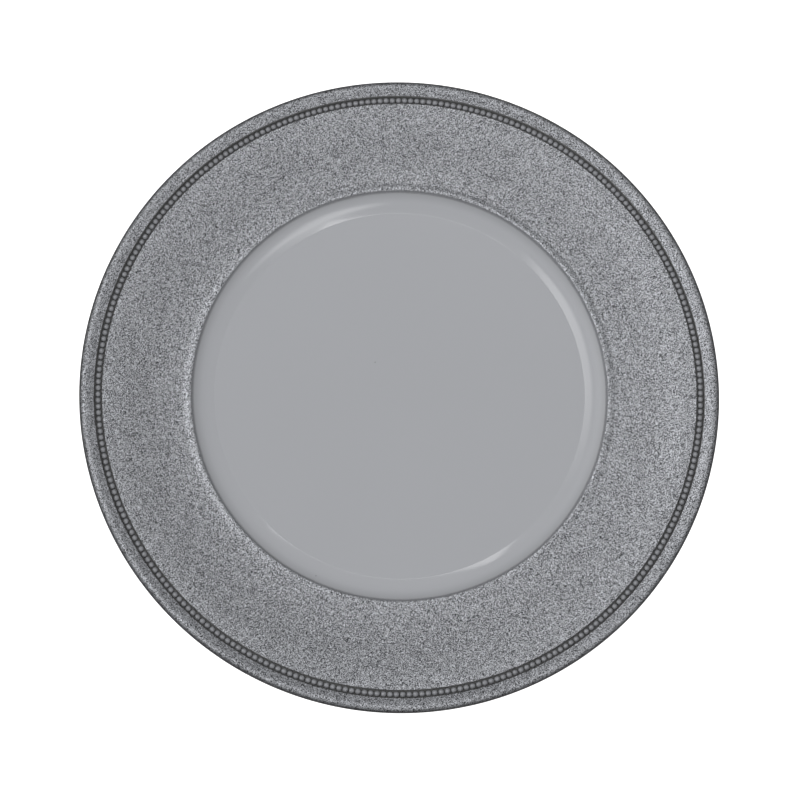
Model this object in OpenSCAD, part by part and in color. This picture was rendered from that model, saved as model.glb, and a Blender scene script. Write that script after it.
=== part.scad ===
// Charger plate: a moulded round under-plate with a glossy well, a sloping glitter flange,
// a course of beads in a channel and a lip that turns down at the edge.
// Z is the plate's axis, and the foot ring stands on z = 0.

/* [Plate] */
// Outer diameter over the finished lip
plate_d = 330; // [300:1:360]
// Wall thickness of the moulded blank
body_t = 2.2; // [1.8:0.1:2.6]

/* [Well] */
// Radial width of the rim, from the finished edge in to the flat floor
rim_w = 68.5; // [55:0.5:80]
// Thickness of the floor
floor_t = 2.3; // [1.8:0.1:2.8]
// Radial width of the wall around the floor
wall_w = 11.4; // [9.5:0.1:14]
// Height that the wall rises
wall_rise = 2.7; // [2.2:0.1:3.4]
// Radius of the bend where the floor meets the wall
floor_bend = 4; // [2:0.5:6]
// Radius of the hollow curve of the wall
wall_bend = 30; // [15:1:40]

/* [Roll around the well] */
// Width of the roll at its foot
roll_w = 4.4; // [3.8:0.1:5.4]
// Height of the roll
roll_h = 1.1; // [0.8:0.1:1.4]
// Run of the roll's inner side
roll_side = 0.8; // [0.7:0.05:0.95]
// Width of the roll's crest
roll_crest = 1.1; // [0.9:0.05:1.4]
// Height from the roll's inner foot to its outer foot
roll_climb = 0.3; // [0:0.05:0.5]
// Radius of the roll's shoulders
roll_crown = 0.9; // [0.7:0.05:1]
// Radius of the hollow at the roll's inner foot
roll_foot = 0.7; // [0.65:0.05:0.85]
// Radius of the hollow at the roll's outer foot
roll_fade = 3; // [2:0.25:4]

/* [Flange] */
// Height that the flange rises from the roll to the beads
flange_rise = 7.7; // [6:0.1:9.5]
// Depth of the flange's hollow curve below a straight line
flange_hollow = 1.1; // [0.7:0.05:1.4]
// Width of the shoulder between the hollow curve and the beads
shoulder_w = 6; // [4:0.5:8]
// Height that the shoulder rises
shoulder_rise = 0.85; // [0.5:0.05:1.2]

/* [Bead course] */
// Distance from the finished edge to the middle of the beads
bead_inset = 9.4; // [9:0.1:12]
// Diameter of a bead
bead_d = 3.1; // [2.6:0.05:3.4]
// Gap between neighbouring beads
bead_gap = 0.13; // [0.08:0.01:0.4]
// Depth of the flat on the back of a bead
bead_flat = 1.2; // [1:0.05:1.4]
// Thickness of the band that carries the beads
band_t = 0.5; // [0.4:0.1:0.7]
// Clearance on each side of the band
band_clearance = 0.1; // [0.05:0.05:0.2]
// Width of the channel at its mouth
channel_w = 4.4; // [4.2:0.1:5.1]
// Depth of the channel below the end of the flange
channel_depth = 2.2; // [1.8:0.1:2.5]
// Run of each of the channel's sides
channel_side = 0.35; // [0.25:0.05:0.5]
// Thickness of the plate under and beside the channel
channel_wall = 1.8; // [1.4:0.1:2.4]

/* [Lip] */
// Height from the end of the flange to the foot of the lip
lip_step = 0.75; // [0.5:0.05:1]
// Height from the lip's foot to the corner of its two slopes
lip_rise = 2.45; // [2.1:0.05:2.6]
// Slope of the lip's inner side in degrees
lip_slope = 28; // [27:1:34]
// Slope of the lip's outer side in degrees
lip_fall = 40; // [32:1:46]
// Radius of the lip's crest
lip_crown = 3; // [2:0.1:3.4]
// Radius of the lip's outer edge
lip_radius = 0.8; // [0.6:0.1:1]
// Height from the lip's outer edge down to the foot of the skirt
lip_drop = 3.8; // [3.2:0.1:4.4]
// Thickness of the skirt that turns down at the edge
skirt_t = 2; // [1.6:0.1:2.2]
// Radius of the skirt's lower edges
skirt_round = 0.7; // [0.3:0.1:0.8]
// Radius of the hollow corners behind the skirt
core_round = 0.8; // [0.3:0.1:0.9]

/* [Foot ring] */
// Distance from the edge of the flat floor to the foot ring
foot_inset = 7.5; // [4:0.5:30]
// Width of the foot ring
foot_w = 4; // [3:0.5:6]
// Height of the foot ring
foot_h = 2.2; // [1.5:0.1:3]
// Run of each of the foot ring's sides
foot_draft = 0.3; // [0.1:0.05:0.5]
// Radius of the foot ring's edges
foot_round = 0.5; // [0.3:0.1:0.7]

/* [Coats] */
// Thickness of the lacquer in the well
lacquer_t = 0.25; // [0.15:0.05:0.4]
// Distance from the lacquer's end to the roll's foot
lacquer_stop = 0.7; // [0.4:0.1:1]
// Thickness of the glitter coat
glitter_t = 0.5; // [0.3:0.05:0.6]

/* [Hidden] */
$fn = 180;
bead_fn = 48;
// Degrees of turn, and length, in one step of an arc
arc_step = 6;
arc_run = 4;
// Largest share of a wall that a bend may take
bend_share = 0.8;
// Share of the flange that its hollow curve takes
hollow_share = 0.7;
// Share of the wall's height at which its curve bends
wall_share = 0.3;

// Upper face of the blank, as [radius, height] points. The floor and the beads keep their distance from the edge.
blank_r = plate_d / 2 - glitter_t;
floor_d = plate_d - 2 * rim_w;
bead_r = plate_d / 2 - bead_inset;
floor_z = foot_h + floor_t;
floor_edge = [floor_d / 2, floor_z];
crease = floor_edge + [wall_w, wall_rise];
wall_mid = floor_edge + [wall_w / 2, wall_share * wall_rise];
lacquer_end = crease + lacquer_stop * unit(wall_mid - crease);
roll_in = crease + [roll_side, roll_h];
flange_in = crease + [roll_w, roll_climb];
roll_out = roll_in + [roll_crest, 0];
flange_out = [bead_r - channel_w / 2, flange_in[1] + flange_rise];
shoulder = flange_out - [shoulder_w, shoulder_rise];
// The hollow curve's own corner lies below its lowest point
flange_mid = (flange_in + shoulder) / 2 - [0, flange_hollow / (1 - hollow_share / 2)];
flange_bend = hollow_share * norm(flange_mid - flange_in) / tan(half_turn(flange_in, flange_mid, shoulder));
// The shoulder's bend takes no more than the hollow curve leaves
shoulder_room = min(norm(flange_out - shoulder), (1 - hollow_share) * norm(shoulder - flange_mid));
shoulder_bend = bend_share * shoulder_room / tan(half_turn(flange_mid, shoulder, flange_out));
lip_in = flange_out + [channel_w, lip_step];
crest = lip_in + [lip_rise / tan(lip_slope), lip_rise];
// The lip's bends take no more than the width of its outer side
crest_w = blank_r - crest[0];
lip_edge = [blank_r, crest[1] - crest_w * tan(lip_fall)];
edge_bend = min(lip_radius, bend_share * crest_w);
crest_room = norm(lip_edge - crest) - edge_bend * tan((90 - lip_fall) / 2);
crest_bend = min(lip_crown, crest_room / tan((lip_slope + lip_fall) / 2));

// Channel and beads
channel_z = flange_out[1] - channel_depth;
channel_floor_w = channel_w - 2 * channel_side;
band_w = channel_floor_w - 2 * band_clearance;
band_top = channel_z + band_t;
bead_count = floor(2 * PI * bead_r / (bead_d + bead_gap));

// Lower face of the blank
skirt_z = lip_edge[1] - lip_drop;
lip_end = [blank_r, skirt_z + 2 * skirt_round];
under_z = channel_z - channel_wall;
core_in_r = lip_in[0] + channel_wall;
core_out_r = blank_r - skirt_t;
core_z = lip_in[1] + channel_wall * tan(lip_slope) - skirt_t;
core_bend = min(core_round, bend_share * min((core_out_r - core_in_r) / 2, core_z - skirt_z - skirt_round));
under_edge = [flange_out[0], under_z];
wall_run = crease - floor_edge;
wall_under = floor_edge - body_t * left_of(wall_run);
wall_under_foot = meet([0, foot_h], [1, 0], wall_under, wall_run);
wall_under_top = moved_corner(floor_edge, crease, flange_mid, -body_t);
flange_under = moved_corner(flange_in, corner(flange_mid, flange_bend), shoulder, -body_t);
foot_d = floor_d - 2 * foot_inset;
foot_out_r = foot_d / 2;
foot_in_r = foot_out_r - foot_w;

// Plane geometry on [radius, height] points
function unit(v) = v / norm(v);
function left_of(v) = unit([-v[1], v[0]]);
function cross_of(a, b) = a[0] * b[1] - a[1] * b[0];
function half_turn(a, b, c) = acos(unit(b - a) * unit(c - b)) / 2;
function meet(p, u, q, v) = p + u * cross_of(q - p, v) / cross_of(u, v);
function reversed(list) = [for (i = [len(list) - 1:-1:0]) list[i]];

// A corner is [radius, height] where the line stays sharp, or [radius, height, bend radius]
function corner(point, bend) = [point[0], point[1], bend];
function place(c) = [c[0], c[1]];
function bend(c) = len(c) > 2 ? c[2] : 0;

// The arc that rounds corner b, between corners a and c
function corner_arc(a, b, c) =
  let (
    u = unit(place(a) - place(b)),
    v = unit(place(c) - place(b)),
    half = acos(u * v) / 2,
    centre = place(b) + unit(u + v) * bend(b) / sin(half),
    first = place(b) + u * bend(b) / tan(half) - centre,
    last = place(b) + v * bend(b) / tan(half) - centre,
    from = atan2(first[1], first[0]),
    turn = atan2(cross_of(first, last), first * last),
    run = bend(b) * abs(turn) * PI / 180,
    steps = ceil(max(abs(turn) / arc_step, run / arc_run))
  )
  [for (i = [0:steps]) centre + bend(b) * [cos(from + turn * i / steps), sin(from + turn * i / steps)]];

// The line through a list of corners, each rounded by its own bend
function rounded(path) =
  let (last = len(path) - 1)
  [
    for (i = [0:last])
      each i == 0 || i == last || bend(path[i]) == 0
        ? [place(path[i])]
        : corner_arc(path[i - 1], path[i], path[i + 1])
  ];

// The same corners moved by d to the left of the line, with bends that stay concentric
function moved_corner(a, b, c, d) =
  let (
    before = place(b) - place(a),
    after = place(c) - place(b),
    m = left_of(before),
    n = left_of(after)
  )
  corner(place(b) + d * (m + n) / (1 + m * n), bend(b) - d * sign(cross_of(before, after)));

function moved(path, d) =
  let (last = len(path) - 1)
  concat(
    [place(path[0]) + d * left_of(place(path[1]) - place(path[0]))],
    [for (i = [1:last - 1]) moved_corner(path[i - 1], path[i], path[i + 1], d)],
    [place(path[last]) + d * left_of(place(path[last]) - place(path[last - 1]))]
  );

// The upper face in the stretches that carry different finishes
well_path = [
  [0, floor_z],
  corner(floor_edge, floor_bend),
  corner(wall_mid, wall_bend),
  lacquer_end
];
flange_path = [
  lacquer_end,
  corner(crease, roll_foot),
  corner(roll_in, roll_crown),
  corner(roll_out, roll_crown),
  corner(flange_in, roll_fade),
  corner(flange_mid, flange_bend),
  corner(shoulder, shoulder_bend),
  flange_out
];
channel_path = [
  [bead_r - channel_floor_w / 2, channel_z],
  [bead_r + channel_floor_w / 2, channel_z]
];
lip_path = [
  lip_in,
  corner(crest, crest_bend),
  corner(lip_edge, edge_bend),
  lip_end
];

// The lower face, from the edge back to the axis
under_path = [
  lip_end,
  [blank_r, skirt_z, skirt_round],
  [core_out_r, skirt_z, skirt_round],
  [core_out_r, core_z, core_bend],
  [core_in_r, core_z, core_bend],
  [core_in_r, under_z, core_bend],
  corner(under_edge, floor_bend),
  flange_under,
  corner(wall_under_top, floor_bend),
  corner(wall_under_foot, floor_bend),
  [foot_out_r, foot_h, foot_round],
  [foot_out_r - foot_draft, 0, foot_round],
  [foot_in_r + foot_draft, 0, foot_round],
  [foot_in_r, foot_h, foot_round],
  [0, foot_h]
];

// The moulding under the finishes: floor, wall, roll, flange, channel, lip, skirt and foot ring
module plate_blank() {
  color("dimgray")
    rotate_extrude()
      polygon(concat(
        rounded(well_path),
        rounded(flange_path),
        channel_path,
        rounded(lip_path),
        rounded(under_path)
      ));
}

// A film of even thickness that lies on a stretch of the blank's upper face
module film(path, thickness) {
  rotate_extrude()
    polygon(concat(rounded(path), reversed(rounded(moved(path, thickness)))));
}

module well_lacquer() {
  color("darkgray")
    film(well_path, lacquer_t);
}

module flange_glitter() {
  color("silver")
    film(flange_path, glitter_t);
}

module lip_glitter() {
  color("silver")
    film(lip_path, glitter_t);
}

// The flat band on the channel's floor
module bead_band() {
  color("dimgray")
    rotate_extrude()
      translate([bead_r - band_w / 2, channel_z])
        square([band_w, band_t]);
}

// One bead, with the flat of its back at z = 0
module bead() {
  difference() {
    translate([0, 0, bead_d / 2 - bead_flat])
      sphere(d = bead_d, $fn = bead_fn);
    translate([-bead_d, -bead_d, -bead_d])
      cube([2 * bead_d, 2 * bead_d, bead_d]);
  }
}

// The beads, side by side around the band
module bead_course() {
  color("gray")
    for (i = [0:bead_count - 1])
      rotate(i * 360 / bead_count)
        translate([bead_r, 0, band_top])
          bead();
}

plate_blank();
well_lacquer();
flange_glitter();
lip_glitter();
bead_band();
bead_course();
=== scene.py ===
# %% [markdown]
# # A charger plate with a beaded glitter rim
# A charger plate is the wide under-plate that stays on the table below the dinner plate. This one
# is a single plastic moulding, 33 cm across: a glossy lacquered well, a sloping flange and a lip
# that carry a coat of silver glitter, and a ring of small beads in a groove between the two. The
# CAD model is loaded first, because every piece made here has to lie exactly where that model
# says. Its box gives the outer radius of the plate.

# %% Load the CAD frame
import math

import bmesh
import bpy
from mathutils import Matrix, Vector


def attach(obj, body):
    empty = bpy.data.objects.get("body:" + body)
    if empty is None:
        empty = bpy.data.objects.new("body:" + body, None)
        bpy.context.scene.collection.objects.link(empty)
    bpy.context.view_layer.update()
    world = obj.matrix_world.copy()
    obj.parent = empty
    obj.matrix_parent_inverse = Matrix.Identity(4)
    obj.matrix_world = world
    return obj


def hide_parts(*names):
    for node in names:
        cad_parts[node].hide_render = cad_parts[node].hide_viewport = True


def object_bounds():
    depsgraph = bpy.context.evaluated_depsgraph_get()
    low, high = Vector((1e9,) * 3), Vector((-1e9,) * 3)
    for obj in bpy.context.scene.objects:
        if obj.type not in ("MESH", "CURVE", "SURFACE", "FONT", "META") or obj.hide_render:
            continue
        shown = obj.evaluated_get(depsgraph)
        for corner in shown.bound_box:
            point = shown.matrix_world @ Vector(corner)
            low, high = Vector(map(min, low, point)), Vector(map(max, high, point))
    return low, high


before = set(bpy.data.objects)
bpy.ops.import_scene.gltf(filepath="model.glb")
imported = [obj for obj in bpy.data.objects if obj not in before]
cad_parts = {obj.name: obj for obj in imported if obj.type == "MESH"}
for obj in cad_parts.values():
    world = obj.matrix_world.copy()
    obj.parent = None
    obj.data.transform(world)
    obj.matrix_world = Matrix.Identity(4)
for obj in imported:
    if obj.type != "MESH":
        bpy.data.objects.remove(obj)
cad_low, cad_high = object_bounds()
print("CAD nodes:", sorted(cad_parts))
print("CAD box in metres:", cad_low[:], cad_high[:])

# %% [markdown]
# ## The sizes
# A round plate is drawn as half of its cross-section, so its sizes are radii, heights and bends.
# The outer radius is read from the CAD box, and the other values are the ones that a mould maker
# would write on the drawing. Writing each one once, with a name, means that the pieces below stay
# in step when one changes. The sizes of the upper face come first, and the others follow where
# they are needed.

# %% Sizes of the well and its roll
MM = 0.001
plate_r = (cad_high.x - cad_low.x) / 2
rim_w = 68.5 * MM
foot_h = 2.2 * MM
floor_t = 2.3 * MM
floor_bend = 4 * MM
wall_w = 11.4 * MM
wall_rise = 2.7 * MM
wall_share = 0.3
wall_bend = 30 * MM
lacquer_stop = 0.7 * MM
roll_w = 4.4 * MM
roll_h = 1.1 * MM
roll_side = 0.8 * MM
roll_crest = 1.1 * MM
roll_climb = 0.3 * MM
roll_crown = 0.9 * MM
roll_foot = 0.7 * MM
roll_fade = 3 * MM
print("plate radius %.1f mm" % (plate_r / MM))

# %% Sizes of the flange, the channel and the lip
glitter_t = 0.5 * MM
flange_rise = 7.7 * MM
flange_hollow = 1.1 * MM
hollow_share = 0.7
shoulder_w = 6 * MM
shoulder_rise = 0.85 * MM
bend_share = 0.8
bead_inset = 9.4 * MM
channel_w = 4.4 * MM
lip_step = 0.75 * MM
lip_rise = 2.45 * MM
lip_slope = math.radians(28)
lip_fall = math.radians(40)
lip_crown = 3 * MM
lip_radius = 0.8 * MM
lip_drop = 3.8 * MM
skirt_round = 0.7 * MM
print("bead ring at radius %.1f mm" % ((plate_r - bead_inset) / MM))

# %% [markdown]
# ## The line of the upper face
# The whole upper face is one line from the axis to the edge: flat floor, hollow wall, a small
# roll around the well, the flange, the bead channel and the lip. Each corner of that line is
# written as a point and the radius that rounds it. The points follow from the sizes, in the order
# in which the line meets them.

# %% Corners of the well and the flange
blank_r = plate_r - glitter_t
bead_r = plate_r - bead_inset
floor_z = foot_h + floor_t
floor_edge = Vector((plate_r - rim_w, floor_z))
crease = floor_edge + Vector((wall_w, wall_rise))
wall_mid = floor_edge + Vector((wall_w / 2, wall_share * wall_rise))
lacquer_end = crease + lacquer_stop * (wall_mid - crease).normalized()
roll_in = crease + Vector((roll_side, roll_h))
roll_out = roll_in + Vector((roll_crest, 0))
flange_in = crease + Vector((roll_w, roll_climb))
flange_out = Vector((bead_r - channel_w / 2, flange_in.y + flange_rise))
shoulder = flange_out - Vector((shoulder_w, shoulder_rise))
flange_mid = (flange_in + shoulder) / 2 - Vector((0, flange_hollow / (1 - hollow_share / 2)))
flange_turn = (flange_mid - flange_in).angle(shoulder - flange_mid)
flange_bend = hollow_share * (flange_mid - flange_in).length / math.tan(flange_turn / 2)
shoulder_turn = (shoulder - flange_mid).angle(flange_out - shoulder)
shoulder_room = min(
    (flange_out - shoulder).length, (1 - hollow_share) * (shoulder - flange_mid).length
)
shoulder_bend = bend_share * shoulder_room / math.tan(shoulder_turn / 2)
print("flange climbs from %.2f to %.2f mm" % (flange_in.y / MM, flange_out.y / MM))

# %% Corners of the lip
lip_in = flange_out + Vector((channel_w, lip_step))
crest = lip_in + Vector((lip_rise / math.tan(lip_slope), lip_rise))
lip_edge = Vector((blank_r, crest.y - (blank_r - crest.x) * math.tan(lip_fall)))
widest_z = lip_edge.y - lip_radius * math.tan((math.pi / 2 - lip_fall) / 2)
skirt_z = lip_edge.y - lip_drop
lip_end = Vector((blank_r, skirt_z + 2 * skirt_round))
print("widest point of the lip at %.2f mm" % (widest_z / MM))

# %% The three lines of the upper face
well_line = [
    (Vector((0, floor_z)), 0),
    (floor_edge, floor_bend),
    (wall_mid, wall_bend),
    (lacquer_end, 0),
]
flange_line = [
    (lacquer_end, 0),
    (crease, roll_foot),
    (roll_in, roll_crown),
    (roll_out, roll_crown),
    (flange_in, roll_fade),
    (flange_mid, flange_bend),
    (shoulder, shoulder_bend),
    (flange_out, 0),
]
lip_line = [(lip_in, 0), (crest, lip_crown), (lip_edge, lip_radius), (lip_end, 0)]
print("corners of the well, flange and lip:", len(well_line), len(flange_line), len(lip_line))

# %% [markdown]
# ## Coats of even thickness
# Lacquer and glitter are films that follow the moulding. A film is the same line moved square to
# itself: each corner moves along the line that halves it, and its bend grows or shrinks so that
# both lines share one centre. Going out along one line and back along the other closes the
# section.


# %% Move a line to its left
def left_of(step):
    return Vector((-step.y, step.x)).normalized()


def moved_corner(before, here, after, distance):
    m = left_of(here - before)
    n = left_of(after - here)
    return here + distance * (m + n) / (1 + m.dot(n))


def moved(line, distance):
    points = [p for p, bend in line]
    result = [(points[0] + distance * left_of(points[1] - points[0]), 0)]
    for i in range(1, len(line) - 1):
        turn = (points[i] - points[i - 1]).cross(points[i + 1] - points[i])
        place = moved_corner(points[i - 1], points[i], points[i + 1], distance)
        result.append((place, line[i][1] - math.copysign(distance, turn)))
    result.append((points[-1] + distance * left_of(points[-1] - points[-2]), 0))
    return result


# %% Close a film
lacquer_t = 0.25 * MM


def film(line, thickness):
    return line + moved(line, thickness)[::-1]


print("film corners:", len(film(well_line, lacquer_t)), len(film(flange_line, glitter_t)))

# %% [markdown]
# ## The line of the lower face
# Underneath, the moulding has what such plates have: a skirt that turns down at the edge and is
# cored out behind, a plain flange of even wall, and a low foot ring that keeps the floor off the
# table. The wall under the flange follows the upper face at one thickness, so that the plastic
# cools evenly in the mould.

# %% Sizes of the lower face and the channel
body_t = 2.2 * MM
channel_depth = 2.2 * MM
channel_side = 0.35 * MM
channel_wall = 1.8 * MM
band_t = 0.5 * MM
skirt_t = 2 * MM
core_round = 0.8 * MM
foot_inset = 7.5 * MM
foot_w = 4 * MM
foot_draft = 0.3 * MM
foot_round = 0.5 * MM
print("wall of the flange %.1f mm thick" % (body_t / MM))

# %% Corners of the lower face
channel_z = flange_out.y - channel_depth
channel_floor_w = channel_w - 2 * channel_side
band_top = channel_z + band_t
under_z = channel_z - channel_wall
core_in_r = lip_in.x + channel_wall
core_out_r = blank_r - skirt_t
core_z = lip_in.y + channel_wall * math.tan(lip_slope) - skirt_t
wall_run = (crease - floor_edge).normalized()
wall_under = floor_edge - body_t * left_of(wall_run)
wall_under_foot = wall_under + wall_run * (foot_h - wall_under.y) / wall_run.y
wall_under_top = moved_corner(floor_edge, crease, flange_mid, -body_t)
flange_under = moved_corner(flange_in, flange_mid, shoulder, -body_t)
foot_out_r = floor_edge.x - foot_inset
foot_in_r = foot_out_r - foot_w
print("foot ring %.1f mm across" % (2 * foot_out_r / MM))

# %% The whole line of the blank
channel_line = [
    (Vector((bead_r - channel_floor_w / 2, channel_z)), 0),
    (Vector((bead_r + channel_floor_w / 2, channel_z)), 0),
]
under_line = [
    (Vector((blank_r, skirt_z)), skirt_round),
    (Vector((core_out_r, skirt_z)), skirt_round),
    (Vector((core_out_r, core_z)), core_round),
    (Vector((core_in_r, core_z)), core_round),
    (Vector((core_in_r, under_z)), core_round),
    (Vector((flange_out.x, under_z)), floor_bend),
    (flange_under, flange_bend + body_t),
    (wall_under_top, floor_bend),
    (wall_under_foot, floor_bend),
    (Vector((foot_out_r, foot_h)), foot_round),
    (Vector((foot_out_r - foot_draft, 0)), foot_round),
    (Vector((foot_in_r + foot_draft, 0)), foot_round),
    (Vector((foot_in_r, foot_h)), foot_round),
    (Vector((0, foot_h)), 0),
]
blank_line = well_line + flange_line[1:] + channel_line + lip_line + under_line
print("blank corners:", len(blank_line))

# %% [markdown]
# ## Nodes from Python
# Geometry and materials are both built as node trees. One small class wraps a socket, so that a
# sum such as `1 - mask` adds the Math node by itself, and one method adds any other node: its
# settings first, then a value or a link for each socket. That keeps every tree below as short as
# the idea behind it.


# %% A socket that can be used in sums
class Value:
    def __init__(self, nodes, socket):
        self.nodes = nodes
        self.socket = socket

    def other(self, name):
        return Value(self.nodes, self.socket.node.outputs[name])

    def __add__(self, value):
        return self.nodes.math("ADD", self, value)

    def __radd__(self, value):
        return self.nodes.math("ADD", value, self)

    def __sub__(self, value):
        return self.nodes.math("SUBTRACT", self, value)

    def __rsub__(self, value):
        return self.nodes.math("SUBTRACT", value, self)

    def __mul__(self, value):
        return self.nodes.math("MULTIPLY", self, value)

    def __rmul__(self, value):
        return self.nodes.math("MULTIPLY", value, self)

    def __truediv__(self, value):
        return self.nodes.math("DIVIDE", self, value)

    def __pow__(self, value):
        return self.nodes.math("POWER", self, value)

    def __gt__(self, value):
        return self.nodes.math("GREATER_THAN", self, value)

    def __lt__(self, value):
        return self.nodes.math("LESS_THAN", self, value)


# %% Add nodes to a tree
class Nodes:
    def __init__(self, tree):
        self.tree = tree

    def add(self, kind, settings=None, sockets=None, out=0):
        node = self.tree.nodes.new(kind)
        for name, setting in (settings or {}).items():
            setattr(node, name, setting)
        for name, value in (sockets or {}).items():
            self.feed(node.inputs[name], value)
        return Value(self, node.outputs[out]) if node.outputs else node

    def feed(self, socket, value):
        if isinstance(value, Value):
            self.tree.links.new(value.socket, socket)
        else:
            socket.default_value = value

    def math(self, operation, first, second):
        return self.add("ShaderNodeMath", {"operation": operation}, {0: first, 1: second})

    def vector(self, operation, first, second=None, out=0):
        sockets = {0: first} if second is None else {0: first, 1: second}
        return self.add("ShaderNodeVectorMath", {"operation": operation}, sockets, out)

    def scaled(self, vector, factor):
        sockets = {0: vector, "Scale": factor}
        return self.add("ShaderNodeVectorMath", {"operation": "SCALE"}, sockets)

    def step(self, value, low, high):
        sockets = {"Value": value, "From Min": low, "From Max": high}
        return self.add("ShaderNodeMapRange", {"interpolation_type": "SMOOTHSTEP"}, sockets)

    def hump(self, value, start, top, end):
        return self.step(value, start, top) - self.step(value, top, end)

    def blend(self, factor, colour_a, colour_b):
        sockets = {0: factor, 6: colour_a, 7: colour_b}
        return self.add("ShaderNodeMix", {"data_type": "RGBA"}, sockets, out=2)


print("node helpers ready")

# %% [markdown]
# ## The lathe
# Every round piece is turned on the same lathe, a Geometry Nodes tree. Its input is a thin line
# of edges whose points carry their bend as an attribute. Fillet Curve rounds the corners, Curve
# to Mesh carries the section round a circle, and Merge by Distance closes the poles on the axis.
# A Screw modifier could turn the line too, but the tree keeps the bends as live numbers and marks
# the sharp edges itself.


# %% Open and close a node tree
def new_tree(name, inputs):
    tree = bpy.data.node_groups.new(name, "GeometryNodeTree")
    tree.interface.new_socket("Geometry", in_out="INPUT", socket_type="NodeSocketGeometry")
    for label, kind in inputs.items():
        tree.interface.new_socket(label, in_out="INPUT", socket_type=kind)
    tree.interface.new_socket("Geometry", in_out="OUTPUT", socket_type="NodeSocketGeometry")
    return tree


def close_tree(nodes, geometry, material):
    whole = nodes.add("GeometryNodeRealizeInstances", {}, {"Geometry": geometry})
    painted = nodes.add("GeometryNodeSetMaterial", {}, {"Geometry": whole, "Material": material})
    nodes.add("NodeGroupOutput", {}, {0: painted})


# %% The lathe as a node tree
path_r = 100 * MM
weld = 0.0005 * MM
sharp_angle = math.radians(32)

lathe_tree = new_tree(
    "plate_lathe",
    {
        "Turns": "NodeSocketInt",
        "Bend steps": "NodeSocketInt",
        "Finish": "NodeSocketMaterial",
    },
)
lathe = Nodes(lathe_tree)
start = lathe.add("NodeGroupInput")
line = lathe.add("GeometryNodeMeshToCurve", {}, {0: start})
bend = lathe.add("GeometryNodeInputNamedAttribute", {"data_type": "FLOAT"}, {"Name": "bend"})
section = lathe.add(
    "GeometryNodeFilletCurve",
    {"mode": "POLY"},
    {"Curve": line, 1: start.other("Bend steps"), "Radius": bend},
)
circle = lathe.add("GeometryNodeCurvePrimitiveCircle", {}, {0: start.other("Turns"), 4: path_r})
turned = lathe.add("GeometryNodeCurveToMesh", {}, {"Curve": circle, "Profile Curve": section})
closed = lathe.add("GeometryNodeMergeByDistance", {}, {"Geometry": turned, "Distance": weld})
smooth = lathe.add("GeometryNodeSetShadeSmooth", {"domain": "FACE"}, {0: closed, 2: True})
angle = lathe.add("GeometryNodeInputMeshEdgeAngle")
edged = lathe.add(
    "GeometryNodeSetShadeSmooth", {"domain": "EDGE"}, {0: smooth, 1: angle > sharp_angle, 2: False}
)
close_tree(lathe, edged, start.other("Finish"))
print("lathe tree:", len(lathe_tree.nodes), "nodes")

# %% [markdown]
# ## From a tree to a plain piece
# A modifier that stays live would be baked again by whoever opens the part, so each tree is run
# once and its result is stored as a plain mesh. The faces are turned outwards, the piece is hung
# on the body it rides on, and the CAD node it stands for is hidden.


# %% Run a tree and keep its mesh
def run_tree(name, mesh, tree, values):
    maker = bpy.data.objects.new(name + "_maker", mesh)
    bpy.context.scene.collection.objects.link(maker)
    modifier = maker.modifiers.new("maker", "NODES")
    modifier.node_group = tree
    for item in tree.interface.items_tree:
        if item.in_out == "INPUT" and item.name in values:
            modifier[item.identifier] = values[item.name]
    graph = bpy.context.evaluated_depsgraph_get()
    result = bpy.data.meshes.new_from_object(maker.evaluated_get(graph))
    bpy.data.objects.remove(maker)
    outward = bmesh.new()
    outward.from_mesh(result)
    bmesh.ops.recalc_face_normals(outward, faces=outward.faces)
    outward.to_mesh(result)
    outward.free()
    result.name = name
    return result


# %% Settle a piece on the plate
def settle(name, mesh, node):
    piece = bpy.data.objects.new(name, mesh)
    bpy.context.scene.collection.objects.link(piece)
    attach(piece, "root")
    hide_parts(node)
    triangles = sum(len(face.vertices) - 2 for face in mesh.polygons)
    size = piece.dimensions / MM
    print("%s: %d triangles, %.2f x %.2f x %.2f mm" % (name, triangles, *size))


# %% Turn a line on the lathe
turns = 480
bend_steps = 7


def turn(name, corners, finish, loop):
    points = [(place.x - path_r, -place.y, 0) for place, bend in corners]
    edges = [(i, i + 1) for i in range(len(points) - 1)]
    if loop:
        edges.append((len(points) - 1, 0))
    mesh = bpy.data.meshes.new(name + "_line")
    mesh.from_pydata(points, edges, [])
    bends = mesh.attributes.new("bend", "FLOAT", "POINT")
    bends.data.foreach_set("value", [bend for place, bend in corners])
    values = {"Turns": turns, "Bend steps": bend_steps, "Finish": finish}
    return run_tree(name, mesh, lathe_tree, values)


print("lathe turns a line in", turns, "steps")

# %% [markdown]
# ## A start for each finish
# A finish is a material whose nodes read Object coordinates, so its grain stays put when the
# plate is seen from another side. The first helper makes an empty material, sets on the shader
# the numbers that are the same all over, and hands back the place on the object for the patterns.
# The others add a texture or a grey.


# %% Begin a finish
def begin_finish(name, constants):
    material = bpy.data.materials.new(name)
    material.use_nodes = True
    shader = material.node_tree.nodes["Principled BSDF"]
    for socket, value in constants.items():
        shader.inputs[socket].default_value = value
    paint = Nodes(material.node_tree)
    place = paint.add("ShaderNodeTexCoord", out="Object")
    return material, paint, shader, place


def from_axis(paint, place):
    across = paint.vector("MULTIPLY", place, (1, 1, 0))
    return paint.vector("LENGTH", across, out="Value")


# %% Textures that the finishes share
def noise(paint, place, scale, detail):
    return paint.add("ShaderNodeTexNoise", {}, {"Vector": place, "Scale": scale, "Detail": detail})


def voronoi(paint, place, scale, out):
    return paint.add("ShaderNodeTexVoronoi", {}, {"Vector": place, "Scale": scale}, out=out)


def bumped(paint, height, strength, depth):
    sockets = {"Strength": strength, "Distance": depth, "Height": height}
    return paint.add("ShaderNodeBump", {}, sockets)


# %% Two greys
cool_tint = (0.978, 1, 1.058)


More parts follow.
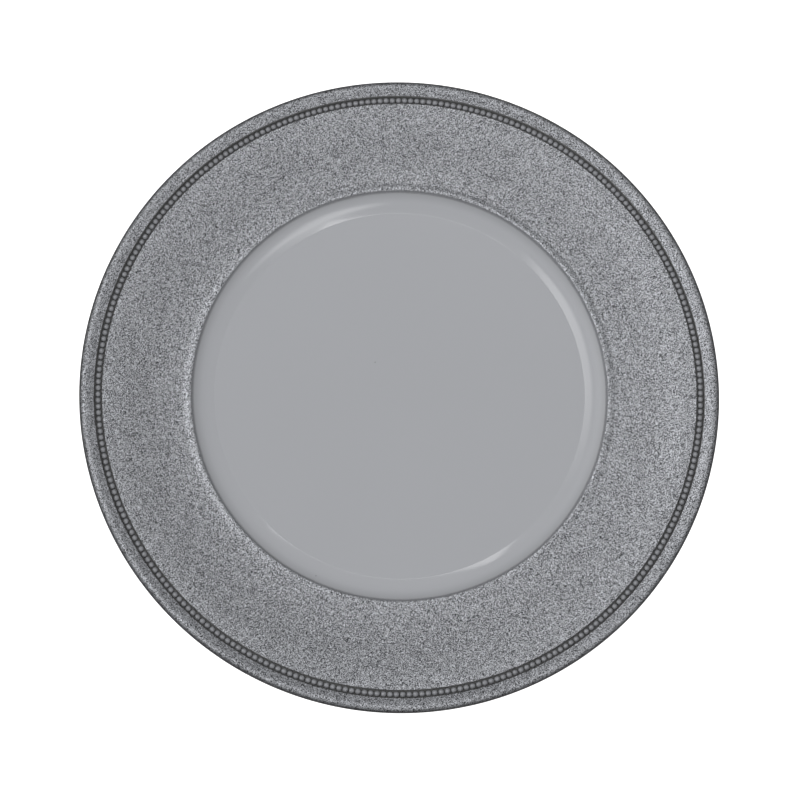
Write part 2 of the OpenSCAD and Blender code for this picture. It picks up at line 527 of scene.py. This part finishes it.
def grey(level):
    return (level, level, level, 1)


def cool_grey(level):
    return tuple(share * level for share in cool_tint) + (1,)


print("finish helpers ready")

# %% [markdown]
# ## Glitter
# The rim is sprayed with glue and dusted with fine silver flakes, each about a third of a
# millimetre across. Real flakes lie at all angles, and that is what sparkles. Modelling hundreds
# of thousands of them would swamp the part, so a Voronoi texture stands for them: each of its
# cells is one flake, with its own tilt of the surface. A second one, of a slightly different
# size, gives the shades, so that tilt and shade don't go together. A noise gives the clumps that
# a dusted coat always has.
#
# The coat isn't coloured the same all over. It starts from a smooth line of glue at the well,
# where the crease is also painted darker as painted shade. The roll is painted lighter as painted
# light, the middle of the flange is a little darker, and the outer edge is painted darker as
# painted shade.

# %% What the glitter is like
flake_size = 0.34 * MM
flake_tilt = 0.55
flake_dark = 0.03
flake_light = 0.785
flake_contrast = 3.2
flake_metal = 0.95
flake_smooth = 0.26
flake_dullness = 0.20
shade_share = 1.13
clump_size = 1.5 * MM
clump_contrast = 0.25
# crease painted darker as shade on the glue line; roll painted light; outer edge painted shade
glue_and_shade_level = 0.30
foot_dull = 0.8
roll_painted_light = 0.18
middle_darker = 0.08
edge_painted_shade = 0.80
edge_dull = 0.65
edge_end = plate_r - 0.5 * lip_radius
print("flakes to a millimetre: %.1f" % (MM / flake_size))


# %% The glitter finish
def make_glitter(name):
    material, paint, shader, place = begin_finish(name, {"IOR": 1.5})
    flakes = voronoi(paint, place, 1 / flake_size, out="Color")
    shades = voronoi(paint, place, shade_share / flake_size, out="Color")
    clumps = noise(paint, place, 1 / clump_size, detail=1.0)
    split = paint.add("ShaderNodeSeparateColor", {}, {0: shades})
    chance = (split + split.other("Green") + split.other("Blue")) / 3
    level = 0.5 + (chance - 0.5) * flake_contrast + (clumps - 0.5) * clump_contrast
    flaked = paint.blend(level, cool_grey(flake_dark), cool_grey(flake_light))
    radius = from_axis(paint, place)
    edge = paint.step(radius, crest.x, edge_end)
    # painted shade in the crease, on a smooth line of glue without flakes
    foot = 1 - paint.step(radius, crease.x, roll_in.x)
    colour = paint.blend(foot, flaked, cool_grey(glue_and_shade_level))
    on_roll = paint.hump(radius, crease.x, roll_in.x, flange_in.x)
    middle = paint.hump(radius, flange_in.x, flange_mid.x, shoulder.x)
    # painted light on the roll, a darker flange middle, painted shade over the outer edge
    tone = 1 + roll_painted_light * on_roll - middle_darker * middle - edge_painted_shade * edge
    paint.feed(shader.inputs["Base Color"], paint.scaled(colour, tone))
    paint.feed(shader.inputs["Metallic"], flake_metal - foot_dull * foot - edge_dull * edge)
    paint.feed(shader.inputs["Roughness"], flake_smooth + flake_dullness * split.other("Green"))
    lean = paint.scaled(paint.vector("SUBTRACT", flakes, (0.5, 0.5, 0.5)), flake_tilt)
    surface = paint.add("ShaderNodeNewGeometry", out="Normal")
    tilted = paint.vector("NORMALIZE", paint.vector("ADD", surface, lean))
    paint.feed(shader.inputs["Normal"], tilted)
    return material


glitter = make_glitter("silver_glitter")
print("glitter:", len(glitter.node_tree.nodes), "nodes")

# %% [markdown]
# ## Lacquer
# The well is sprayed with a pale cool grey lacquer and dries to a high gloss. Sprayed paint is
# never quite even: the film has a faint orange peel, the colour drifts by a hair, and a few specks
# of dust are caught in it. The wall is also painted darker towards the crease, as painted shade. A
# plain colour under a strong, smooth gloss gives the mirror-like bands on the wall of the well.

# %% What the lacquer is like
lacquer_level = 0.529
lacquer_drift = 0.015
lacquer_smooth = 0.045
lacquer_dullness = 0.02
drift_scale = 14.0
# painted shade: how much darker the wall is painted towards the crease
wall_painted_shade = 0.32
wall_dark = 0.4
speck_spread = 22 * MM
speck_r = 0.30 * MM
speck_level = 0.05
speck_show = 0.55
peel_scale = 420.0
peel_strength = 0.03
peel_depth = 0.05 * MM
print("a speck in about %.0f mm" % (speck_spread / MM))


# %% The lacquer finish
def make_lacquer(name):
    material, paint, shader, place = begin_finish(name, {"IOR": 1.8})
    drift = noise(paint, place, drift_scale, detail=2.0)
    specks = voronoi(paint, place, 1 / speck_spread, out="Distance")
    speck = specks < speck_r / speck_spread
    darker = cool_grey(lacquer_level * (1 - lacquer_drift))
    lighter = cool_grey(lacquer_level * (1 + lacquer_drift))
    even = paint.blend(drift, darker, lighter)
    # painted shade, growing from the middle of the wall out to the crease
    shade = paint.step(from_axis(paint, place), wall_mid.x, crease.x)
    shaded = paint.blend(shade * wall_painted_shade, even, cool_grey(lacquer_level * wall_dark))
    colour = paint.blend(speck * speck_show, shaded, grey(speck_level))
    paint.feed(shader.inputs["Base Color"], colour)
    paint.feed(shader.inputs["Roughness"], lacquer_smooth + lacquer_dullness * drift)
    peel = noise(paint, place, peel_scale, detail=1.0)
    paint.feed(shader.inputs["Normal"], bumped(paint, peel, peel_strength, peel_depth))
    return material


lacquer = make_lacquer("grey_lacquer")
print("lacquer:", len(lacquer.node_tree.nodes), "nodes")

# %% [markdown]
# ## Beads and their band
# The beads are pressed in one strip and painted a satin pewter, with a dusting of the same
# flakes. Dark paint is left standing in the hollows between them, and painted shade is added there
# too, which is what draws each bead as a ring. Height above the band decides how much of that dark
# wash and painted shade there is, so the tops stay light and the feet go almost black.

# %% The bead finish
bead_d = 3.1 * MM
bead_flat = 1.2 * MM
dome_h = bead_d - bead_flat
bead_top_level = 0.465
bead_foot_level = 0.10
bead_dusting = 0.45
bead_grain_scale = 1100.0
bead_foot_dullness = 0.55
bead_top_polish = 0.25
# dark wash and painted shade fade in from the band up the sides of each bead
wash_and_shade_low = band_top + 0.15 * dome_h
wash_and_shade_high = band_top + 0.60 * dome_h
wash_and_shade_ragged = 0.6 * MM


def make_pewter(name):
    material, paint, shader, place = begin_finish(name, {"IOR": 1.5, "Metallic": 0.15})
    height = paint.add("ShaderNodeSeparateXYZ", {}, {0: place}, out="Z")
    grain = noise(paint, place, bead_grain_scale, detail=2.0)
    ragged_height = height + (grain - 0.5) * wash_and_shade_ragged
    # dark wash and painted shade at the feet, by height above the band
    top = paint.step(ragged_height, wash_and_shade_low, wash_and_shade_high)
    flakes = voronoi(paint, place, 1 / flake_size, out="Color")
    dusting = paint.add("ShaderNodeSeparateColor", {}, {0: flakes})
    shine = top * (1 - bead_dusting + bead_dusting * dusting)
    colour = paint.blend(shine, grey(bead_foot_level), cool_grey(bead_top_level))
    paint.feed(shader.inputs["Base Color"], colour)
    paint.feed(shader.inputs["Roughness"], bead_foot_dullness - bead_top_polish * top)
    return material


pewter = make_pewter("bead_pewter")
print("pewter:", len(pewter.node_tree.nodes), "nodes")

# %% The band finish, a dark paint that is also painted shade between the beads
band_dark = 0.11
band_light = 0.21
band_grain_scale = 1500.0
band_smooth = 0.5
band_dullness = 0.25


def make_band_paint_and_shade(name):
    material, paint, shader, place = begin_finish(name, {"IOR": 1.5})
    grain = noise(paint, place, band_grain_scale, detail=2.0)
    # dark paint that also stands for painted shade in the gaps between the beads
    paint.feed(shader.inputs["Base Color"], paint.blend(grain, grey(band_dark), grey(band_light)))
    paint.feed(shader.inputs["Roughness"], band_smooth + band_dullness * grain)
    return material


band_paint_and_shade = make_band_paint_and_shade("band_dark_paint_and_shade")
print("band paint:", len(band_paint_and_shade.node_tree.nodes), "nodes")

# %% [markdown]
# ## The moulded plastic
# The blank shows underneath, and as the two sides of the bead channel. It is satin grey plastic,
# with the fine spark-eroded grain that hides scratches, and the same dark wash, which is also
# painted shade, is put in the channel. The wash and shade are placed by the distance from the axis
# and the height, so the underside stays clean.

# %% The plastic finish
plastic_level = 0.23
plastic_flow = 0.06
plastic_smooth = 0.42
plastic_dullness = 0.2
flow_scale = 9.0
moulded_grain_scale = 1600.0
moulded_grain_strength = 0.25
moulded_grain_depth = 0.03 * MM
# dark wash and painted shade on the sides of the bead channel
channel_wash_and_shade_level = 0.30
wash_and_shade_in = flange_out.x - channel_side
wash_and_shade_out = lip_in.x + channel_side
wash_and_shade_floor = channel_z - 0.5 * channel_wall


def make_plastic(name):
    material, paint, shader, place = begin_finish(name, {"IOR": 1.48})
    grain = noise(paint, place, moulded_grain_scale, detail=2.0)
    flow = noise(paint, place, flow_scale, detail=3.0)
    height = paint.add("ShaderNodeSeparateXYZ", {}, {0: place}, out="Z")
    radius = from_axis(paint, place)
    # painted shade and dark wash on the channel sides, not underneath
    wash_and_shade = (radius > wash_and_shade_in) * (radius < wash_and_shade_out) * (height > wash_and_shade_floor)
    darker = grey(plastic_level * (1 - plastic_flow))
    lighter = grey(plastic_level * (1 + plastic_flow))
    even = paint.blend(flow, darker, lighter)
    colour = paint.blend(wash_and_shade, even, grey(channel_wash_and_shade_level))
    paint.feed(shader.inputs["Base Color"], colour)
    paint.feed(shader.inputs["Roughness"], plastic_smooth + plastic_dullness * grain)
    bump = bumped(paint, grain, moulded_grain_strength, moulded_grain_depth)
    paint.feed(shader.inputs["Normal"], bump)
    return material


plastic = make_plastic("blank_plastic")
print("plastic:", len(plastic.node_tree.nodes), "nodes")

# %% [markdown]
# ## Turning the round pieces
# The blank and the lacquer reach the axis, so their lines stay open and close at the poles. The
# two glitter coats and the band are rings, so their lines close on themselves.

# %% Turn the blank and the coats
blank_mesh = turn("moulded_blank", blank_line, plastic, False)
settle("moulded_blank", blank_mesh, "plate_blank")
well_mesh = turn("lacquered_well", film(well_line, lacquer_t), lacquer, False)
settle("lacquered_well", well_mesh, "well_lacquer")
flange_mesh = turn("glitter_flange", film(flange_line, glitter_t), glitter, True)
settle("glitter_flange", flange_mesh, "flange_glitter")
lip_mesh = turn("glitter_lip", film(lip_line, glitter_t), glitter, True)
settle("glitter_lip", lip_mesh, "lip_glitter")

# %% Turn the band
band_clearance = 0.1 * MM
band_in = bead_r - channel_floor_w / 2 + band_clearance
band_out = bead_r + channel_floor_w / 2 - band_clearance
band_line = [
    (Vector((band_in, channel_z)), 0),
    (Vector((band_out, channel_z)), 0),
    (Vector((band_out, band_top)), 0),
    (Vector((band_in, band_top)), 0),
]
band_mesh = turn("carrier_band", band_line, band_paint_and_shade, True)
settle("carrier_band", band_mesh, "bead_band")

# %% [markdown]
# ## The ring of beads
# Three hundred beads sit side by side in the channel. They are the clearest case for Geometry
# Nodes: one small dome, placed on every point of a circle. The dome is a low sphere with its back
# pressed flat on the band, and it has only a few dozen faces, because it is repeated so often and
# shaded smooth.

# %% The bead ring as a node tree
bead_sides = 12
bead_rings = 8

bead_tree = new_tree(
    "bead_ring",
    {
        "Count": "NodeSocketInt",
        "Ring radius": "NodeSocketFloat",
        "Bead diameter": "NodeSocketFloat",
        "Flat": "NodeSocketFloat",
        "Seat": "NodeSocketFloat",
        "Finish": "NodeSocketMaterial",
    },
)
beads = Nodes(bead_tree)
start = beads.add("NodeGroupInput")
half = start.other("Bead diameter") / 2
seat = half - start.other("Flat")
ball = beads.add(
    "GeometryNodeMeshUVSphere", {}, {"Segments": bead_sides, "Rings": bead_rings, "Radius": half}
)
spot = beads.add("GeometryNodeInputPosition")
parts = beads.add("ShaderNodeSeparateXYZ", {}, {0: spot})
pressed = beads.math("MAXIMUM", parts.other("Z"), seat * -1)
place = beads.add("ShaderNodeCombineXYZ", {}, {"X": parts, "Y": parts.other("Y"), "Z": pressed})
dome = beads.add("GeometryNodeSetPosition", {}, {"Geometry": ball, "Position": place})
dome = beads.add("GeometryNodeSetShadeSmooth", {}, {0: dome, 2: True})
lift = beads.add("ShaderNodeCombineXYZ", {}, {"Z": start.other("Seat") + seat})
lifted = beads.add("GeometryNodeTransform", {}, {"Geometry": dome, "Translation": lift})
ring = beads.add(
    "GeometryNodeMeshCircle",
    {},
    {"Vertices": start.other("Count"), "Radius": start.other("Ring radius")},
)
row = beads.add("GeometryNodeInstanceOnPoints", {}, {"Points": ring, "Instance": lifted})
close_tree(beads, row, start.other("Finish"))
print("bead tree:", len(bead_tree.nodes), "nodes")

# %% Set the beads on their band
bead_gap = 0.13 * MM
bead_count = math.floor(2 * math.pi * bead_r / (bead_d + bead_gap))
bead_values = {
    "Count": bead_count,
    "Ring radius": bead_r,
    "Bead diameter": bead_d,
    "Flat": bead_flat,
    "Seat": band_top,
    "Finish": pewter,
}
bead_mesh = run_tree("bead_ring", bpy.data.meshes.new("bead_start"), bead_tree, bead_values)
settle("bead_ring", bead_mesh, "bead_course")
print("beads:", bead_count)

# %% [markdown]
# ## The table
# The plate is shown on a plain white table that is lit from within, as product photographs often
# are, so no hard shadow falls round it. The table shows to the camera only: it throws no light
# back up on the rim, whose edge is dark in the photograph. Seen from below it is clear, so the
# foot ring can be looked at.

# %% The table top
table_half = 3.0

table_mesh = bpy.data.meshes.new("white_table")
table_corners = [
    (-table_half, -table_half, 0),
    (table_half, -table_half, 0),
    (table_half, table_half, 0),
    (-table_half, table_half, 0),
]
table_mesh.from_pydata(table_corners, [], [(0, 1, 2, 3)])
table = bpy.data.objects.new("white_table", table_mesh)
bpy.context.scene.collection.objects.link(table)
table.visible_diffuse = False
table.visible_glossy = False
print("table %.0f m across" % (2 * table_half))

# %% The table's white
table_glow = 1.05
paper_scale = 40.0
paper_dark = 0.80
paper_light = 0.84

table_finish, paint, shader, place = begin_finish(
    "table_white", {"Roughness": 0.9, "Emission Strength": table_glow, "Emission Color": grey(1.0)}
)
paper = noise(paint, place, paper_scale, detail=2.0)
paint.feed(shader.inputs["Base Color"], paint.blend(paper, grey(paper_dark), grey(paper_light)))
below = paint.add("ShaderNodeNewGeometry", out="Backfacing")
clear = paint.add("ShaderNodeBsdfTransparent")
lit = Value(paint, shader.outputs[0])
whole = paint.add("ShaderNodeMixShader", {}, {0: below, 1: lit, 2: clear})
paint.feed(table_finish.node_tree.nodes["Material Output"].inputs["Surface"], whole)
table_mesh.materials.append(table_finish)
print("table glow", table_glow)

# %% [markdown]
# ## The light
# Two narrow strips hang over the table. They show as thin bright lines where the floor of the
# well bends up into its wall. A strip's place and size are given in degrees to the right and to
# the back, as seen from the plate, so that it can be moved the way a photographer would.

# %% Light strips
strip_away = 8.0
strip_glow = 2.0


def hang_strip(name, right, back, width, depth):
    light = bpy.data.lights.new(name, "AREA")
    light.shape = "RECTANGLE"
    light.size = 2 * strip_away * math.tan(math.radians(width / 2))
    light.size_y = 2 * strip_away * math.tan(math.radians(depth / 2))
    light.energy = strip_glow * math.pi * light.size * light.size_y
    lamp = bpy.data.objects.new(name, light)
    bpy.context.scene.collection.objects.link(lamp)
    aside = Vector((math.tan(math.radians(right)), math.tan(math.radians(back)), 1))
    lamp.location = strip_away * aside
    print("%s: %.2f x %.2f m" % (name, light.size, light.size_y))


hang_strip("back_strip", right=-1, back=17.5, width=13, depth=3.5)
hang_strip("top_strip", right=1, back=2.5, width=10, depth=3.5)

# %% [markdown]
# ## The room
# The rest of the light is a sky, drawn in a few broad strokes: an even glow, a strong light to
# the left, weak ones to the front and overhead, and two panels with faded edges that the glossy
# wall mirrors. Lamps could do this too, but a sky needs no shadows worked out and is as soft as a
# tent of cloth. A glow is given by its heading and its lean from straight above in degrees, and
# by how tight it is. A panel is given by where it starts, is full, begins to fade and ends, as
# slopes away from straight above.
#
# The camera itself sees the same white all round as on the table.

# %% Broad glows
left_glow = 1.8
front_glow = 0.58
overhead_glow = 0.16

world = bpy.data.worlds.new("studio_room")
world.use_nodes = True
sky = Nodes(world.node_tree)
look = sky.add("ShaderNodeTexCoord", out="Generated")


def glow(heading, lean, tightness):
    h = math.radians(heading)
    t = math.radians(lean)
    axis = (math.sin(t) * math.cos(h), math.sin(t) * math.sin(h), math.cos(t))
    facing = sky.vector("DOT_PRODUCT", look, axis, out="Value")
    return sky.math("MAXIMUM", facing, 0.0) ** tightness


sides = left_glow * glow(heading=182, lean=53, tightness=12)
sides = sides + front_glow * glow(heading=318, lean=53, tightness=12)
sides = sides + overhead_glow * glow(heading=90, lean=22, tightness=30)
print("glows:", left_glow, front_glow, overhead_glow)

# %% Panels with faded edges
left_panel_glow = 1.6
left_panel_across = (0.09, 0.13, 0.13, 0.32)
left_panel_back = (-0.06, 0.04, 0.12, 0.26)
right_panel_glow = 1.5
right_panel_across = (0.07, 0.14, 0.18, 0.36)
right_panel_back = (-0.26, -0.12, -0.02, 0.08)

aim = sky.add("ShaderNodeSeparateXYZ", {}, {0: look})
upwards = aim.other("Z")
to_right = aim / upwards
to_back = aim.other("Y") / upwards


def faded(slope, edges):
    begin, full, fade, end = edges
    return sky.step(slope, begin, full) * (1 - sky.step(slope, fade, end))


left_panel = faded(to_right * -1, left_panel_across) * faded(to_back, left_panel_back)
right_panel = faded(to_right, right_panel_across) * faded(to_back, right_panel_back)
panels = left_panel_glow * left_panel + right_panel_glow * right_panel
print("panels:", left_panel_glow, right_panel_glow)

# %% Light the room
low_glow = 0.28
even_glow = 0.47
horizon_low = 0.1
horizon_high = 0.6

above = sky.step(upwards, horizon_low, horizon_high)
room = low_glow + above * (even_glow - low_glow + sides + panels)
seen = sky.add("ShaderNodeLightPath", out="Is Camera Ray")
background = world.node_tree.nodes["Background"]
background.inputs["Color"].default_value = grey(1.0)
sky.feed(background.inputs["Strength"], room * (1 - seen) + table_glow * seen)
bpy.context.scene.world = world
bpy.context.scene.view_settings.view_transform = "Standard"
print("sky:", len(world.node_tree.nodes), "nodes")

# %% [markdown]
# ## The camera
# The rim of the plate is a circle, and the photograph shows it as a slightly flattened ellipse.
# Its two axes and its middle give the camera: a little over a metre above the plate, about ten
# degrees off the vertical, and turned a little about its own axis.

# %% The camera's lens
image_side = 800
focal_pixels = 2190.7
middle_x = 400.69
middle_y = 389.80
sensor_w = 36.0

camera_data = bpy.data.cameras.new("photo_camera")
camera_data.sensor_width = sensor_w
camera_data.lens = focal_pixels / image_side * sensor_w
camera_data.shift_x = (image_side / 2 - middle_x) / image_side
camera_data.shift_y = (middle_y - image_side / 2) / image_side
print("lens %.2f mm" % camera_data.lens)

# %% Place the camera
camera_away = 1129 * MM
camera_lean = math.radians(10.18)
camera_turn = math.radians(11.08)

camera = bpy.data.objects.new("photo_camera", camera_data)
bpy.context.scene.collection.objects.link(camera)
back = Vector((0, -math.sin(camera_lean), math.cos(camera_lean)))
up = Vector((0, math.cos(camera_lean), math.sin(camera_lean)))
axes = Matrix((up.cross(back), up, back)).transposed().to_4x4()
stand = Matrix.Translation(Vector((0, 0, widest_z)) + camera_away * back)
camera.matrix_world = stand @ axes @ Matrix.Rotation(camera_turn, 4, "Z")
bpy.context.scene.camera = camera
print("camera %.0f mm from the rim" % (camera_away / MM))
